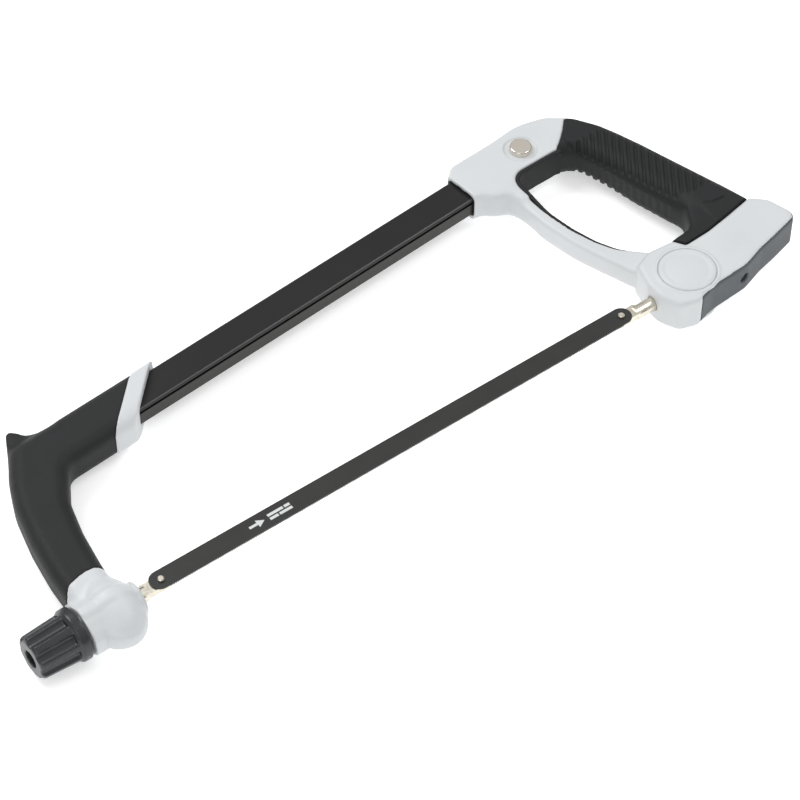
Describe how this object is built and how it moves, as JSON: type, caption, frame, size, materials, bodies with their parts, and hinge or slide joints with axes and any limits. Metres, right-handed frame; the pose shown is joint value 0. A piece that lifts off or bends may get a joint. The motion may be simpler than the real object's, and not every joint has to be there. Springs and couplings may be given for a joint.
{
  "type": "hacksaw",
  "caption": "High-tension hacksaw with tubular frame, moulded front grip, D-shaped rear handle, tension knob, swivelling blade holders and a standard 300 mm blade.",
  "frame": {"origin": "centre of the footprint of the saw as it lies on its side, on the surface it lies on", "axes": "+X from the tension knob to the handle along the blade, +Y from the blade up to the frame tube, +Z out of the saw's side that faces up"},
  "size_m": [0.5014, 0.172, 0.032],
  "materials": {
    "grey_paint": "die-cast alloy, light grey satin paint",
    "grey_cover": "moulded plastic, light grey, satin",
    "tube_paint": "aluminium extrusion, black satin powder coat",
    "black_grip": "black thermoplastic rubber, matte",
    "knob_plastic": "dark blue-grey moulded nylon",
    "blade_steel": "hardened steel, dark paint",
    "nickel_steel": "nickel-plated steel",
    "chrome_steel": "chrome-plated steel",
    "zinc_steel": "zinc-plated steel",
    "gasket_rubber": "black rubber",
    "bumper_rubber": "mid grey moulded rubber"
  },
  "bodies": {
    "frame": {"frame_tube": "tube_paint", "front_casting": "grey_paint", "front_grip": "black_grip", "tube_rivets": "zinc_steel", "handle_casting": "grey_paint", "handle_grip": "black_grip", "opening_liner": "black_grip", "socket_gasket": "gasket_rubber", "handle_screw": "chrome_steel", "handle_sleeve_nut": "chrome_steel", "boss_cover_left": "grey_cover", "boss_cover_right": "grey_cover", "base_bumper": "bumper_rubber", "bumper_screw": "zinc_steel", "rear_washer": "zinc_steel"},
    "thrust_washer": {"thrust_washer": "zinc_steel"},
    "knob": {"knob_body": "knob_plastic", "knob_nut": "zinc_steel"},
    "front_holder": {"front_holder": "nickel_steel", "front_blade_pin": "nickel_steel"},
    "rear_holder": {"rear_holder": "nickel_steel", "rear_blade_pin": "nickel_steel", "rear_cross_pin": "zinc_steel"},
    "blade": {"blade": "blade_steel"}
  },
  "joints": [
    {"name": "knob_travel", "type": "slide", "parent": "frame", "child": "thrust_washer", "axis": [-1, 0, 0], "range_m": [0, 0.0075]},
    {"name": "knob_turn", "type": "hinge", "parent": "thrust_washer", "child": "knob", "pos_m": [-0.23395, -0.06396, 0.016], "axis": [-1, 0, 0], "range_deg": [0, 2160]},
    {"name": "rear_swivel", "type": "hinge", "parent": "frame", "child": "rear_holder", "pos_m": [0.15605, -0.06396, 0.016], "axis": [1, 0, 0], "range_deg": [-90, 90]},
    {"name": "front_swivel", "type": "hinge", "parent": "frame", "child": "front_holder", "pos_m": [-0.20395, -0.06396, 0.016], "axis": [1, 0, 0], "range_deg": [-90, 90]},
    {"name": "blade_lift", "type": "slide", "parent": "rear_holder", "child": "blade", "axis": [0, 0, 1], "range_m": [0, 0.01]}
  ],
  "couplings": [
    {"joint": "knob_travel", "follows": "knob_turn", "m_per_rad": 0.00019894},
    {"joint": "front_swivel", "follows": "rear_swivel", "ratio": 1}
  ]
}
